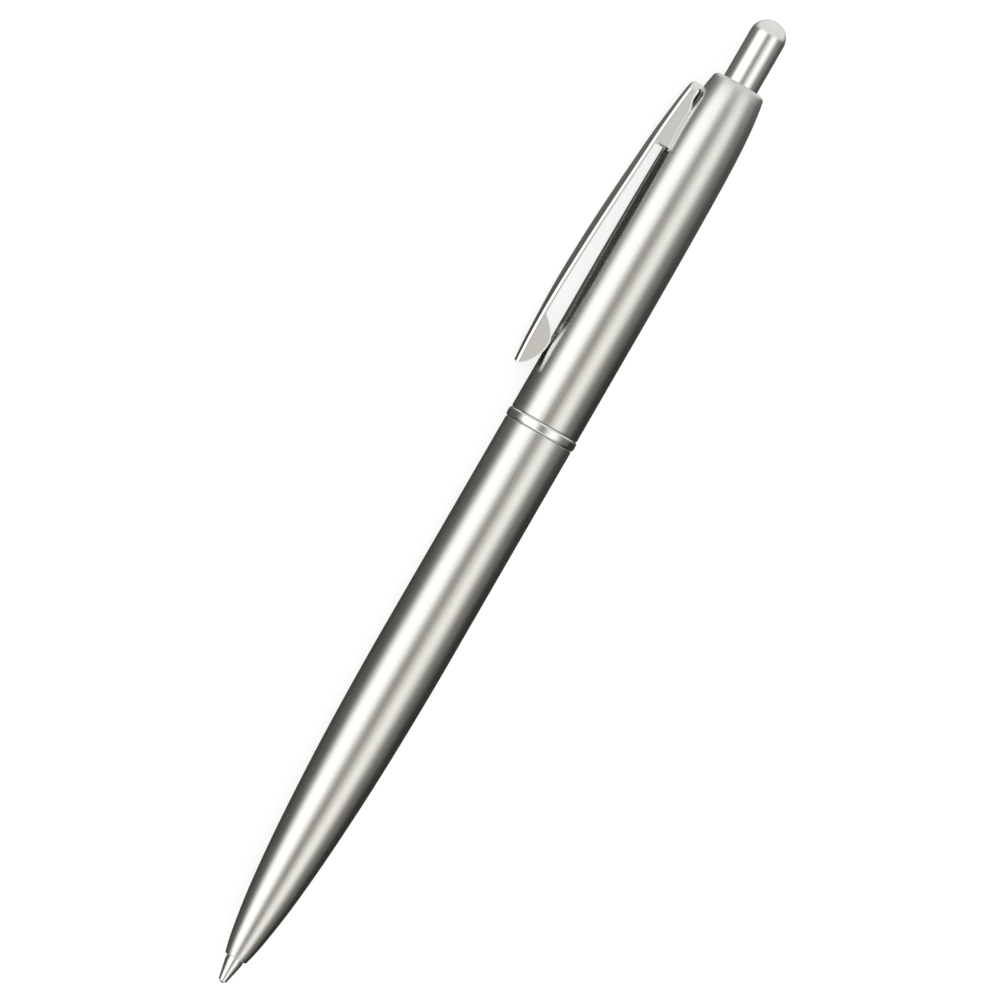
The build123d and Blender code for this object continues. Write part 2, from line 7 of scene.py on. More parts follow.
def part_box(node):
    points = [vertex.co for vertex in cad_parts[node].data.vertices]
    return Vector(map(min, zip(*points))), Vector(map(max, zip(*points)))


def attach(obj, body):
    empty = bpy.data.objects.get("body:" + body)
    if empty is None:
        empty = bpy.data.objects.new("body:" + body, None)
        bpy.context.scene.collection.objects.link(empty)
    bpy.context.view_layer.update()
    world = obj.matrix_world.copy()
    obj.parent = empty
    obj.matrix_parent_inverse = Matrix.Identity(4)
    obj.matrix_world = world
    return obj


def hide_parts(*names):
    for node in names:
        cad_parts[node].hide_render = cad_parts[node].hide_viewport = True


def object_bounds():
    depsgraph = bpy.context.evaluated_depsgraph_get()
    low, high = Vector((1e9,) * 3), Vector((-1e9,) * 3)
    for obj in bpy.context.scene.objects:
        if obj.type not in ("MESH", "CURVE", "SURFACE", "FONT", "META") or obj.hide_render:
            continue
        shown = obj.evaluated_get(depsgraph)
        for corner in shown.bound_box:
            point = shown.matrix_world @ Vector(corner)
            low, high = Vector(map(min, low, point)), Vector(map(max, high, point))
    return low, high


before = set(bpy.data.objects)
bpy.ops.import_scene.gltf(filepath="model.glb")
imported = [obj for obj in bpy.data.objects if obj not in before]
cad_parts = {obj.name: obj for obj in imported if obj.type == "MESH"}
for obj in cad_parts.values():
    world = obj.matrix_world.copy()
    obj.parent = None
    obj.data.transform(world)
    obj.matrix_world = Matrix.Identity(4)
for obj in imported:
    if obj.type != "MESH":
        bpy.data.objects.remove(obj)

# The scene: a click ballpoint pen lying on a white table. The frame's metres are kept, and the
# pen's axis is X, with its nose towards +X and its clip on the -Y side, turned down to the table.
scene = bpy.context.scene
scene.view_settings.view_transform = "Standard"
cad_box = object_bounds()

# Lower barrel: a steel tube, straight where it is held and drawn in to an ogive nose. It is
# stainless steel, turned and then brushed along its length to a satin.
mm = 0.001
lower_rear, lower_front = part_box("lower_barrel")
joint_end = lower_rear[0]
nose_end = lower_front[0]
barrel_radius = lower_front[2]
nose_end_radius = 1.54 * mm
nose_length = 46.0 * mm
barrel_bore = 4.3 * mm
joint_rounding = 0.18 * mm
lip_rounding = 0.12 * mm
point_bore = 1.3 * mm
lip_depth = 1.7 * mm
bush_front_radius = 1.557 * mm
bush_rear_radius = 2.286 * mm
# The bore's steps: depth from the nose's end, and the radius from there on, in millimetres.
bore_rows = ((6.0, 2.306), (9.2, 2.6), (13.4, 3.1), (30.6, 4.05), (46.0, 4.3))
nose_step = 1.0 * mm
# The ogive: share of the nose's length from its end, and share of the barrel's growth there.
nose_rows = ((0, 0), (0.067, 0.209), (0.2, 0.487), (0.4, 0.737), (0.665, 0.925), (1, 1))
nose_lead_in = 3.4
nose_slope_angle = 70
barrel_sides = 160
turned_smooth = radians(30)
weld_distance = 0.0005 * mm


def to_linear(code):
    """Linear colour of an sRGB hex value."""
    shares = [int(code[place:place + 2], 16) / 255 for place in (0, 2, 4)]
    return (*(share / 12.92 if share <= 0.04045 else ((share + 0.055) / 1.055) ** 2.4
              for share in shares), 1)


def add_node(tree, kind, values=None, **settings):
    """A node with its settings; each value is a number, a colour or the output it is linked to."""
    node = tree.nodes.new(kind)
    for name, setting in settings.items():
        setattr(node, name, setting)
    for socket, value in (values or {}).items():
        if isinstance(value, bpy.types.NodeSocket):
            tree.links.new(value, node.inputs[socket])
        else:
            node.inputs[socket].default_value = value
    return node


def start_material(name):
    """An empty material and its node tree."""
    material = bpy.data.materials.new(name)
    material.use_nodes = True
    material.node_tree.nodes.clear()
    return material, material.node_tree


def finish_material(tree, shader):
    """Sends the shader to the material's surface."""
    add_node(tree, "ShaderNodeOutputMaterial", {"Surface": shader.outputs[0]})


def eased(rows, run, lead_in, lead_out):
    """Second value at this run, on a smooth curve through the rows, with its slope at both ends."""
    slopes = [lead_in]
    for (before, low), (after, high) in zip(rows, rows[2:]):
        slopes.append((high - low) / (after - before))
    slopes.append(lead_out)
    index = 0
    while index < len(rows) - 2 and run > rows[index + 1][0]:
        index += 1
    (start, low), (end, high) = rows[index], rows[index + 1]
    span = end - start
    part = min(max((run - start) / span, 0), 1)
    rise = part * (1 - part) ** 2 * span * slopes[index]
    fall = part * part * (1 - part) * span * slopes[index + 1]
    return low + (high - low) * part * part * (3 - 2 * part) + rise - fall


def corner(centre, radius, start, end, steps=5):
    """Points of a rounded corner; 0 degrees points along X and 90 away from the axis."""
    angles = [radians(start + (end - start) * step / steps) for step in range(steps + 1)]
    return [(centre[0] + radius * cos(angle), centre[1] + radius * sin(angle)) for angle in angles]


def turned(name, profile, joined=True, sides=barrel_sides):
    """A turned piece: a ring drawn out along X from place to place of its profile of places and
    radii. A joined profile ends where it starts; one that isn't has its two ends filled."""
    bpy.ops.object.select_all(action="DESELECT")
    place, radius = profile[0]
    bpy.ops.mesh.primitive_circle_add(vertices=sides, radius=radius, location=(place, 0, 0),
                                      rotation=(0, pi / 2, 0))
    piece = bpy.context.object
    piece.name = name
    piece.data.name = name
    bpy.ops.object.transform_apply(location=True, rotation=True, scale=True)
    bpy.ops.object.mode_set(mode="EDIT")
    bpy.ops.mesh.select_all(action="SELECT")
    for (start, before), (end, after) in zip(profile, profile[1:]):
        bpy.ops.mesh.extrude_region_move(TRANSFORM_OT_translate={"value": (end - start, 0, 0)})
        growth = after / before
        bpy.ops.transform.resize(value=(1, growth, growth), center_override=(end, 0, 0))
    bpy.ops.mesh.select_all(action="SELECT")
    if joined:
        bpy.ops.mesh.remove_doubles(threshold=weld_distance)
    else:
        bpy.ops.mesh.fill_holes(sides=0)
    bpy.ops.mesh.normals_make_consistent(inside=False)
    bpy.ops.object.mode_set(mode="OBJECT")
    bpy.ops.object.shade_smooth_by_angle(angle=turned_smooth)
    return piece


def dress(piece, material):
    """Gives a piece its one material."""
    piece.data.materials.clear()
    piece.data.materials.append(material)


def ogive_radius(run):
    """Outside radius of the lower barrel, at a run from its nose end."""
    share = eased(nose_rows, run / nose_length, nose_lead_in, 0)
    return nose_end_radius + (barrel_radius - nose_end_radius) * share


nose_runs = [nose_length - step * nose_step for step in range(int(nose_length / nose_step))]
bore_profile = [(nose_end - lip_depth, point_bore), (nose_end - lip_depth, bush_front_radius)]
last_radius = bush_rear_radius
for depth, radius in bore_rows:
    bore_profile += [(nose_end - depth * mm, last_radius), (nose_end - depth * mm, radius * mm)]
    last_radius = radius * mm
lower_barrel = turned("Lower_barrel", [
    (joint_end, barrel_bore),
    *corner((joint_end + joint_rounding, barrel_radius - joint_rounding), joint_rounding, 180, 90),
    *[(nose_end - run, ogive_radius(run)) for run in nose_runs],
    *corner((nose_end - lip_rounding, nose_end_radius - lip_rounding), lip_rounding,
            nose_slope_angle, 0),
    (nose_end, point_bore),
    *bore_profile,
    (joint_end, barrel_bore)])

# Stainless steel, brushed lengthwise: fine grooves of about 0.03 mm, drawn here five times as
# wide so that they show, which break up the reflections and soften them into a satin.
groove_width = 0.16 * mm
groove_length = 14 * mm
groove_depth = 0.002 * mm
handling_patch = 9 * mm
brushed_steel, tree = start_material("Brushed_stainless_steel")
place = add_node(tree, "ShaderNodeTexCoord").outputs["Object"]
grooves = add_node(tree, "ShaderNodeTexNoise", {
    "Vector": add_node(tree, "ShaderNodeMapping", {
        "Vector": place,
        "Scale": (1 / groove_length, 1 / groove_width, 1 / groove_width)}).outputs[0],
    "Scale": 1.0, "Detail": 3.0, "Roughness": 0.6})
handling = add_node(tree, "ShaderNodeTexNoise", {
    "Vector": place, "Scale": 1 / handling_patch, "Detail": 2.0})
groove_roughness = add_node(tree, "ShaderNodeMapRange", {
    "Value": grooves.outputs["Fac"], "From Min": 0.3, "From Max": 0.7,
    "To Min": 0.19, "To Max": 0.29})
handled_roughness = add_node(tree, "ShaderNodeMapRange", {
    "Value": handling.outputs["Fac"], "From Min": 0.35, "From Max": 0.65,
    "To Min": -0.015, "To Max": 0.015})
roughness = add_node(tree, "ShaderNodeMath", {
    0: groove_roughness.outputs[0], 1: handled_roughness.outputs[0]}, operation="ADD")
relief = add_node(tree, "ShaderNodeBump", {
    "Height": grooves.outputs["Fac"], "Strength": 1.0, "Distance": groove_depth})
finish_material(tree, add_node(tree, "ShaderNodeBsdfPrincipled", {
    "Base Color": to_linear("d1d1cd"), "Metallic": 1.0, "Roughness": roughness.outputs[0],
    "Normal": relief.outputs["Normal"]}))
dress(lower_barrel, brushed_steel)
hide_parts("lower_barrel")
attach(lower_barrel, "lower_body")

# Writing point: the stepped end of the refill, turned from stainless steel, with its rim rolled
# in over the ball. Only its cone and a short straight stretch stand out of the nose.
point_rear, point_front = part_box("writing_point")
point_radius = point_front[2]
rim_place = point_front[0]
point_cone = 2.63 * mm
point_rim_radius = 0.59 * mm
point_rim_rounding = 0.21 * mm
cone_edge = 0.08 * mm
cone_slope_angle = 78
socket_radius = 0.37 * mm
small_sides = 96
writing_point = turned("Writing_point", [
    (point_rear[0], socket_radius),
    (point_rear[0], point_radius),
    (rim_place - point_cone - cone_edge, point_radius),
    (rim_place - point_cone + cone_edge, point_radius - cone_edge / 2),
    *corner((rim_place - point_rim_rounding, point_rim_radius - point_rim_rounding),
            point_rim_rounding, cone_slope_angle, 0),
    (rim_place, socket_radius),
    (point_rear[0], socket_radius)], sides=small_sides)

# Turned stainless steel: fine rings left by the tool, 0.05 mm apart, on a bright surface.
tool_step = 0.05 * mm
tool_depth = 0.001 * mm
round_drift = 20 * mm
turned_steel, tree = start_material("Turned_stainless_steel")
rings = add_node(tree, "ShaderNodeTexNoise", {
    "Vector": add_node(tree, "ShaderNodeMapping", {
        "Vector": add_node(tree, "ShaderNodeTexCoord").outputs["Object"],
        "Scale": (1 / tool_step, 1 / round_drift, 1 / round_drift)}).outputs[0],
    "Scale": 1.0, "Detail": 2.0})
ring_roughness = add_node(tree, "ShaderNodeMapRange", {
    "Value": rings.outputs["Fac"], "From Min": 0.3, "From Max": 0.7,
    "To Min": 0.1, "To Max": 0.2})
relief = add_node(tree, "ShaderNodeBump", {
    "Height": rings.outputs["Fac"], "Strength": 0.5, "Distance": tool_depth})
finish_material(tree, add_node(tree, "ShaderNodeBsdfPrincipled", {
    "Base Color": to_linear("e4e4e1"), "Metallic": 1.0, "Roughness": ring_roughness.outputs[0],
    "Normal": relief.outputs["Normal"]}))
dress(writing_point, turned_steel)
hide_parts("writing_point")
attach(writing_point, "refill_body")

# Tip ball: a ground tungsten carbide ball, held in the point's rim; its shape is the frame's.
# Carbide is darker than steel and takes a high gloss, and a film of ink dulls it in patches.
film_patch = 0.25 * mm
carbide, tree = start_material("Ground_tungsten_carbide")
ink_film = add_node(tree, "ShaderNodeTexNoise", {
    "Vector": add_node(tree, "ShaderNodeTexCoord").outputs["Object"],
    "Scale": 1 / film_patch, "Detail": 2.0})
film_roughness = add_node(tree, "ShaderNodeMapRange", {
    "Value": ink_film.outputs["Fac"], "From Min": 0.4, "From Max": 0.6,
    "To Min": 0.12, "To Max": 0.35})
film_colour = add_node(tree, "ShaderNodeValToRGB", {"Fac": ink_film.outputs["Fac"]})
film_colour.color_ramp.elements[0].color = to_linear("3a3b44")
film_colour.color_ramp.elements[1].color = to_linear("767472")
finish_material(tree, add_node(tree, "ShaderNodeBsdfPrincipled", {
    "Base Color": film_colour.outputs["Color"], "Metallic": 1.0,
    "Roughness": film_roughness.outputs[0]}))
dress(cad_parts["tip_ball"], carbide)

# Threaded coupler: a turned brass tube pressed into the lower barrel. Its stub carries the
# thread on which the upper barrel screws, and shows when the barrels are taken apart.
coupler_rear, coupler_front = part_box("threaded_coupler")
stub_end = coupler_rear[0]
thread_radius = 3.75 * mm
thread_core = 3.42 * mm
thread_pitch = 0.75 * mm
thread_turns = 5
ridge_size = 0.3 * mm
coupler_bore = 3.25 * mm
coupler_press = coupler_front[2]
seat_length = 1.6 * mm
seat_end = joint_end - seat_length
stub_bevel = 0.2 * mm
thread_steps = 64
coupler = turned("Threaded_coupler", [
    (stub_end, coupler_bore),
    (stub_end, thread_core - stub_bevel),
    (stub_end + stub_bevel, thread_core),
    (seat_end - stub_bevel, thread_core),
    (seat_end, thread_radius),
    (joint_end, thread_radius),
    (joint_end, coupler_press),
    (coupler_front[0], coupler_press),
    (coupler_front[0], coupler_bore),
    (stub_end, coupler_bore)], sides=small_sides)
bpy.ops.object.select_all(action="DESELECT")
bpy.ops.mesh.primitive_circle_add(
    vertices=3, radius=ridge_size,
    location=(stub_end + stub_bevel, thread_radius - ridge_size, 0))
thread = bpy.context.object
bpy.ops.object.transform_apply(location=True, rotation=True, scale=True)
winding = thread.modifiers.new("Winding", "SCREW")
winding.axis = "X"
winding.angle = 2 * pi
winding.screw_offset = thread_pitch
winding.iterations = thread_turns
winding.steps = thread_steps
winding.render_steps = thread_steps
bpy.ops.object.modifier_apply(modifier=winding.name)
bpy.ops.object.mode_set(mode="EDIT")
bpy.ops.mesh.select_all(action="SELECT")
bpy.ops.mesh.fill_holes(sides=0)
bpy.ops.mesh.normals_make_consistent(inside=False)
bpy.ops.object.mode_set(mode="OBJECT")
coupler.select_set(True)
bpy.context.view_layer.objects.active = coupler
bpy.ops.object.join()
bpy.ops.object.shade_smooth_by_angle(angle=turned_smooth)

# Turned brass, bright: warm yellow metal with the tool's rings and a little brown tarnish.
tarnish_patch = 1.5 * mm
brass, tree = start_material("Turned_brass")
place = add_node(tree, "ShaderNodeTexCoord").outputs["Object"]
rings = add_node(tree, "ShaderNodeTexNoise", {
    "Vector": add_node(tree, "ShaderNodeMapping", {
        "Vector": place, "Scale": (1 / tool_step, 1 / round_drift, 1 / round_drift)}).outputs[0],
    "Scale": 1.0, "Detail": 2.0})
tarnish = add_node(tree, "ShaderNodeTexNoise", {
    "Vector": place, "Scale": 1 / tarnish_patch, "Detail": 4.0})
brass_colour = add_node(tree, "ShaderNodeValToRGB", {"Fac": tarnish.outputs["Fac"]})
brass_colour.color_ramp.elements[0].position = 0.3
brass_colour.color_ramp.elements[0].color = to_linear("b8924c")
brass_colour.color_ramp.elements[1].position = 0.6
brass_colour.color_ramp.elements[1].color = to_linear("d9b96e")
brass_roughness = add_node(tree, "ShaderNodeMapRange", {
    "Value": rings.outputs["Fac"], "From Min": 0.3, "From Max": 0.7,
    "To Min": 0.16, "To Max": 0.3})
relief = add_node(tree, "ShaderNodeBump", {
    "Height": rings.outputs["Fac"], "Strength": 0.5, "Distance": tool_depth})
finish_material(tree, add_node(tree, "ShaderNodeBsdfPrincipled", {
    "Base Color": brass_colour.outputs["Color"], "Metallic": 1.0,
    "Roughness": brass_roughness.outputs[0], "Normal": relief.outputs["Normal"]}))
dress(coupler, brass)
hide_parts("threaded_coupler")
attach(coupler, "lower_body")
for name in ("nose_bush", "point_holder", "threaded_bush"):
    dress(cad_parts[name], brass)

# Centre ring: a loose half-round band of polished stainless steel, trapped between the barrels.
# The rounding of its edges leaves a thin dark groove on each side.
ring_rear, ring_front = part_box("centre_ring")
ring_radius = ring_front[2]
ring_bore = 3.85 * mm
ring_rounding = 0.42 * mm
centre_ring = turned("Centre_ring", [
    (ring_rear[0], ring_bore),
    *corner((ring_rear[0] + ring_rounding, ring_radius - ring_rounding), ring_rounding, 180, 90,
            steps=8),
    *corner((ring_front[0] - ring_rounding, ring_radius - ring_rounding), ring_rounding, 90, 0,
            steps=8),
    (ring_front[0], ring_bore),
    (ring_rear[0], ring_bore)])

# Polished stainless steel: nearly a mirror, with hairline scratches from wiping and pockets,
# drawn wider than real ones so that they show, and faint smears that dull it in patches.
scratch_width = 0.05 * mm
scratch_stretch = 0.06
scratch_turn = (0.3, 0.5, 0.7)
scratch_depth = 0.0008 * mm
smear_patch = 5 * mm
polished_steel, tree = start_material("Polished_stainless_steel")
place = add_node(tree, "ShaderNodeTexCoord").outputs["Object"]
scratches = add_node(tree, "ShaderNodeTexNoise", {
    "Vector": add_node(tree, "ShaderNodeMapping", {
        "Vector": place, "Rotation": scratch_turn,
        "Scale": (scratch_stretch / scratch_width, 1 / scratch_width,
                  1 / scratch_width)}).outputs[0],
    "Scale": 1.0, "Detail": 2.0})
smears = add_node(tree, "ShaderNodeTexNoise", {
    "Vector": place, "Scale": 1 / smear_patch, "Detail": 3.0})
polish_roughness = add_node(tree, "ShaderNodeMapRange", {
    "Value": smears.outputs["Fac"], "From Min": 0.35, "From Max": 0.65,
    "To Min": 0.06, "To Max": 0.12})
relief = add_node(tree, "ShaderNodeBump", {
    "Height": scratches.outputs["Fac"], "Strength": 0.4, "Distance": scratch_depth})
finish_material(tree, add_node(tree, "ShaderNodeBsdfPrincipled", {
    "Base Color": to_linear("e3e3e0"), "Metallic": 1.0, "Roughness": polish_roughness.outputs[0],
    "Normal": relief.outputs["Normal"]}))
dress(centre_ring, polished_steel)
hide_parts("centre_ring")
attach(centre_ring, "ring_body")

# Upper barrel: a steel cap, straight above the ring and curved in to a rounded rim round the
# push button. It is stainless steel, brushed like the lower barrel.
upper_rear, upper_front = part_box("upper_barrel")
upper_end = upper_rear[0]
upper_start = upper_front[0]
upper_length = upper_start - upper_end
straight_share = 0.36
# The taper: share of the barrel's length from the ring, and share of its straight radius there.
upper_rows = ((straight_share, 1.0), (0.634, 0.983), (0.818, 0.943), (0.91, 0.88),
              (0.966, 0.806), (1.0, 0.737))
upper_lead_out = -2.2
upper_step = 0.8 * mm
rim_rounding = 0.6 * mm
rim_slope_angle = 104
button_hole = 2.56 * mm
end_wall = 0.7 * mm
shoulder_depth = 20.37 * mm
housing_bore = 4.0 * mm
housing_depth = 42.8 * mm
rear_bore = 3.2 * mm


def upper_radius(place):
    """Outside radius of the upper barrel, at a place along X."""
    share = (upper_start - place) / upper_length
    if share < straight_share:
        return barrel_radius
    return barrel_radius * eased(upper_rows, share, 0, upper_lead_out)


taper_start = upper_start - straight_share * upper_length
taper_steps = int((taper_start - upper_end - rim_rounding) / upper_step)
taper_places = [taper_start - step * upper_step for step in range(taper_steps + 1)]
rim_radius = upper_radius(upper_end + rim_rounding)
upper_barrel = turned("Upper_barrel", [
    (upper_start, barrel_bore),
    *corner((upper_start - joint_rounding, barrel_radius - joint_rounding), joint_rounding, 0, 90),
    *[(place, upper_radius(place)) for place in taper_places],
    *corner((upper_end + rim_rounding, rim_radius - rim_rounding), rim_rounding,
            rim_slope_angle, 180, steps=8),
    (upper_end, button_hole),
    (upper_end + end_wall, button_hole),
    (upper_end + end_wall, rear_bore),
    (upper_start - housing_depth, rear_bore),
    (upper_start - housing_depth, housing_bore),
    (upper_start - shoulder_depth, housing_bore),
    (upper_start - shoulder_depth, barrel_bore),
    (upper_start, barrel_bore)])
dress(upper_barrel, brushed_steel)
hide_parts("upper_barrel")
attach(upper_barrel, "upper_body")

# Push button: a drawn steel cap with a half-round end, pressed on the plunger's stem and
# polished by hand.
button_rear, button_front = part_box("push_button")
button_end = button_rear[0]
button_radius = button_front[2]
button_bore = 2.1 * mm
dome_last_angle = 178
push_button = turned("Push_button", [
    (button_front[0], button_bore),
    (button_front[0], button_radius),
    *corner((button_end + button_radius, 0), button_radius, 90, dome_last_angle, steps=22)],
    joined=False)
dress(push_button, polished_steel)
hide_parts("push_button")
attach(push_button, "button_body")

# Clip: a channel folded from one strip of spring steel and polished. Its walls are low along the
# arm, swell into two half-moon lobes that bear on the barrel, and stand tall at the root, which
# hooks into the barrel. The sheet is set out by formula on a grid, which no operator does.
clip_rear, clip_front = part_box("clip")
clip_tip = clip_front[0]
clip_length = clip_tip - clip_rear[0]
clip_turn = radians(20.9)
clip_outward = Vector((0, -cos(clip_turn), -sin(clip_turn)))
clip_sideways = Vector((0, -sin(clip_turn), cos(clip_turn)))
clip_half_width = 2.4 * mm
clip_reach = 2.95 * mm
clip_sheet = 0.4 * mm
clip_crown = 0.05 * mm
crown_shares = (0.75, 0.5, 0.25, 0)
# The fold from wall to face: each facet's turn from the wall in degrees, and its length in mm.
fold_rows = ((10, 0.05), (20, 0.05), (26, 0.07), (31, 0.08), (36, 0.08), (41, 0.07), (52, 0.04),
             (62, 0.04), (72, 0.04), (82, 0.06))
arm_depth = 0.62 * mm
lobe_centre = 3.95 * mm
lobe_front = 3.9 * mm
lobe_back = 3.15 * mm
front_fullness = 0.8
back_fullness = 1.2
lobe_apex = 4.8 * mm
root_start = 32.5 * mm
arch_run = 0.35 * mm
arch_height = 0.5 * mm
root_seat_end = 38.2 * mm
# Past its seat the root's wall lifts off the barrel, and the slot shows through this hole.
hole_height = 4.48 * mm
hole_rise = 1.9 * mm
hole_end = 41.6 * mm
hole_rounding = 0.4 * mm
end_run = 1.15 * mm
end_centre = clip_length - end_run
seat_gap = 0.03 * mm
cut_edge = 0.1 * mm
edge_ease = 0.16 * mm
edge_share = 0.6
fold_ease = 0.06 * mm
fold_share = 0.2
# Share of the clip's length from its free end, and share of its reach, then of its width.
face_rows = ((0.0, 0.89), (0.118, 0.978), (0.27, 0.995), (0.48, 0.89), (0.7, 0.69),
             (0.845, 0.535), (1.0, 0.26))
face_slopes = (1.2, -2.3)
plan_rows = ((0.0, 0.43), (0.15, 0.6), (0.3, 0.88), (0.47, 1.0), (0.62, 0.99), (0.77, 0.86),
             (0.89, 0.65), (1.0, 0.5))
plan_slopes = (1.1, -1.3)
tip_step = 0.04 * mm
lobe_steps = 14
arm_start = 7.4 * mm
arm_step = 0.8 * mm
arm_columns = 32
arch_steps = 8
drop_run = 0.01 * mm
seat_step = 0.56 * mm
seat_columns = 10
hole_step = 0.19 * mm
hole_columns = 11
corner_turn = 0.002
side_steps = 8
end_steps = 5
clip_smooth = radians(40)
sharp_angle = radians(50)


def clip_face(run):
    """Distance of the clip's outer face from the pen's axis, at a run from its free end."""
    return barrel_radius + clip_reach * eased(face_rows, run / clip_length, *face_slopes)


def clip_half(run):
    """Half width of the clip, at a run from its free end."""
    return clip_half_width * eased(plan_rows, run / clip_length, *plan_slopes)


def barrel_height(run, sideways):
    """Height of the barrel's surface over its axis, at a run from the clip's free end."""
    return sqrt(upper_radius(clip_tip - run) ** 2 - sideways ** 2)


def wall_foot(run, sideways):
    """Height of the lower edge of the clip's side walls, at a run from its free end."""
    arm = clip_face(run) - arm_depth
    if run < lobe_centre:
        lobe_side, fullness = lobe_front, front_fullness
    else:
        lobe_side, fullness = lobe_back, back_fullness
    if abs(run - lobe_centre) < lobe_side:
        swell = (1 - ((run - lobe_centre) / lobe_side) ** 2) ** fullness
        return arm - (clip_face(lobe_centre) - arm_depth - lobe_apex) * swell
    if run <= root_start:
        return arm
    if run <= root_start + arch_run:
        arched = min((run - root_start) / arch_run, 1)
        return arm - arch_height * (1 - sqrt(1 - arched ** 2))
    if run <= root_seat_end or run > hole_end:
        return barrel_height(run, sideways) + seat_gap
    lifted = min((run - root_seat_end) / hole_rise, 1)
    lifted = lifted * lifted * (3 - 2 * lifted)
    rounded = max(run - hole_end + hole_rounding, 0) / hole_rounding
    rounded = hole_rounding * (1 - sqrt(1 - rounded ** 2))
    seat = barrel_height(root_seat_end, clip_half(root_seat_end)) + seat_gap
    return seat * (1 - lifted) + hole_height * lifted - rounded


def clip_section(run, turn):
    """Points of the clip's skin from edge to edge, as run, height and place sideways. The turn
    is 0 for a section across the clip, and 90 degrees straight along it at its rounded end."""
    half = clip_half(run)
    rise, flat = 0, half
    skin = [(0, half)]
    for angle, length in fold_rows:
        rise += length * mm * cos(radians(angle))
        flat -= length * mm * sin(radians(angle))
        skin.append((rise, flat))
    skin += [(rise + clip_crown * (1 - share ** 2), flat * share) for share in crown_shares]
    edge = run + half * sin(turn)
    foot = wall_foot(edge, half * cos(turn))
    wall = clip_face(edge) - rise - foot
    # Points close to the cut edge and to the fold keep the wall between them flat.
    low = min(cut_edge + edge_ease, wall * edge_share)
    high = wall - min(fold_ease, wall * fold_share)
    points = [(edge, foot + step, half * cos(turn)) for step in (0, low, (low + high) / 2, high)]
    for height, part in skin:
        along = run + part * sin(turn)
        points.append((along, clip_face(along) - rise + height, part * cos(turn)))
    return points + [(along, height, -side) for along, height, side in reversed(points[:-1])]


def clip_sheet_piece(name, columns):
    """A sheet whose grid of points is given column by column, as run, height and place."""
    bpy.ops.object.select_all(action="DESELECT")
    bpy.ops.mesh.primitive_grid_add(x_subdivisions=len(columns) - 1,
                                    y_subdivisions=len(columns[0]) - 1, size=clip_length)
    piece = bpy.context.object
    piece.name = name
    piece.data.name = name
    for index, vertex in enumerate(piece.data.vertices):
        row, column = divmod(index, len(columns))
        run, height, sideways = columns[column][row]
        vertex.co = (Vector((clip_tip - run, 0, 0)) + clip_outward * height
                     + clip_sideways * sideways)
    middle = piece.data.polygons[len(piece.data.polygons) // 2]
    bpy.ops.object.mode_set(mode="EDIT")
    bpy.ops.mesh.select_all(action="SELECT")
    if middle.normal.dot(clip_outward) < 0:
        bpy.ops.mesh.flip_normals()
    bpy.ops.mesh.remove_doubles(threshold=weld_distance)
    bpy.ops.object.mode_set(mode="OBJECT")
    return piece


lobe_runs = [lobe_centre - lobe_front * cos(pi * step / (2 * lobe_steps))
             for step in range(lobe_steps)]
lobe_runs += [lobe_centre + lobe_back * sin(pi * step / (2 * lobe_steps))
              for step in range(lobe_steps + 1)]
arm_runs = [arm_start + arm_step * step for step in range(arm_columns)]
arch_runs = [root_start + arch_run * sin(pi * step / (2 * arch_steps))
             for step in range(arch_steps + 1)]
seat_runs = [root_start + arch_run + drop_run + seat_step * step for step in range(seat_columns)]
hole_runs = [root_seat_end + hole_step * step for step in range(hole_columns)]
hole_turn = asin((hole_end - end_centre) / clip_half(end_centre))
end_turns = [hole_turn * step / side_steps for step in range(side_steps)]
end_turns += [hole_turn - corner_turn, hole_turn + corner_turn]
end_turns += [hole_turn + (pi / 2 - hole_turn) * step / end_steps
              for step in range(1, end_steps + 1)]
clip = clip_sheet_piece("Clip", [
    *(clip_section(run, 0) for run in (0, tip_step, *lobe_runs, *arm_runs, *arch_runs,
                                       *seat_runs, *hole_runs)),
    *(clip_section(end_centre, turn) for turn in end_turns)])
walls = clip.modifiers.new("Sheet", "SOLIDIFY")
walls.thickness = clip_sheet
walls.offset = -1
walls.use_even_offset = True
bpy.ops.object.modifier_apply(modifier=walls.name)
edges = clip.modifiers.new("Cut_edge", "BEVEL")
edges.width = cut_edge
edges.segments = 3
edges.limit_method = "ANGLE"
edges.angle_limit = sharp_angle
bpy.ops.object.modifier_apply(modifier=edges.name)
bpy.ops.object.shade_smooth_by_angle(angle=clip_smooth)
dress(clip, polished_steel)
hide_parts("clip")
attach(clip, "clip_body")

# Slot and its rim: the slot punched in the upper barrel, which the clip's root is set in, and
# the lip that the punch raises round it. The lip is the barrel's own brushed steel, and catches
# the light all round the root. Beside the narrow end of the root the slot stands open.
rim_half = 1.05 * mm
rim_opening = 0.9 * mm
rim_centre = 40.25 * mm
rim_end = 1.3 * mm
rim_rise = 0.09 * mm
rim_low_rise = 0.08 * mm
rim_out = 0.16 * mm
rim_tuck = 0.02 * mm
rim_middle_out = 0.5
rim_middle_rise = 0.6
rim_sheet = 0.1 * mm
rim_columns = 32
rim_end_steps = 24
slot_centre = 39.7 * mm
slot_half_length = 1.9 * mm
slot_half = 1.03 * mm
slot_depth = 2.6 * mm
slot_sides = 48


def rim_section(run, turn):
    """Points of the slot's rim across it, on the clip's side where the turn is below 90."""
    opened = min(max((run - root_seat_end) / rim_opening, 0), 1)
    half = clip_half(run) + (rim_half - clip_half(run)) * opened
    top = rim_rise + (rim_low_rise - rim_rise) * opened
    points = []
    middle = (rim_out * rim_middle_out, top * rim_middle_rise)
    for out, rise in ((-rim_tuck, top), middle, (rim_out, 0)):
        along = run + (rim_end + out) * sin(turn)
        sideways = (half + out) * cos(turn)
        points.append((along, barrel_height(along, sideways) + rise, sideways))
    return points


